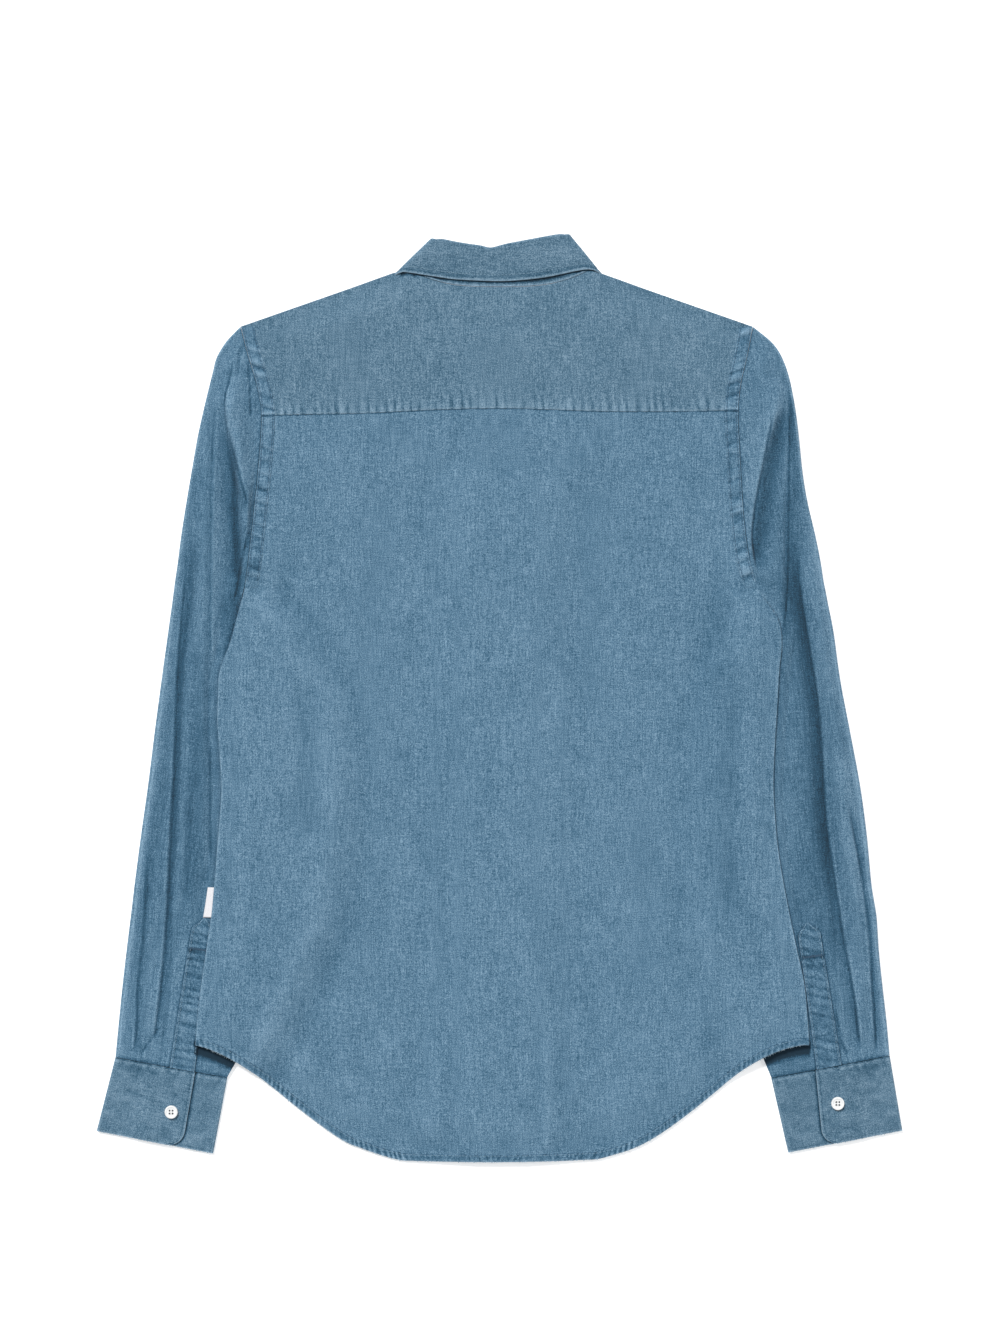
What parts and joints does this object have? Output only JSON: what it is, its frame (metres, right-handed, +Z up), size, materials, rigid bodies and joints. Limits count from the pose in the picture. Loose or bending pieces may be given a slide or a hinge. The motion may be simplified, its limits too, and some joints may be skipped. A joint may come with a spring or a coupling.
{
  "type": "shirt",
  "caption": "Denim button-up shirt with a turned-down collar, back yoke, long sleeves and buttoned cuffs, laid flat face down",
  "frame": {"origin": "centre of the shirt's outline in plan, on the surface that it lies on", "axes": "+X towards the wearer's right, +Y from the hem towards the collar, +Z up from the surface, out of the back"},
  "size_m": [0.644, 0.7416, 0.0092],
  "materials": {
    "denim": "washed mid-blue chambray denim, matte",
    "button": "pearly, smooth",
    "label": "white woven tape, blank"
  },
  "bodies": {
    "root": {"back": "denim", "yoke": "denim", "front_left": "denim", "front_right": "denim", "front_placket": "denim", "collar_leaf": "denim", "collar_stand": "denim", "sleeve_left": "denim", "sleeve_right": "denim", "sleeve_placket_left": "denim", "sleeve_placket_right": "denim", "cuff_left": "denim", "cuff_right": "denim", "cuff_button_left": "button", "cuff_button_right": "button", "stand_button": "button", "front_button_1": "button", "front_button_2": "button", "front_button_3": "button", "front_button_4": "button", "front_button_5": "button", "front_button_6": "button", "front_button_7": "button", "side_label": "label"}
  },
  "joints": []
}
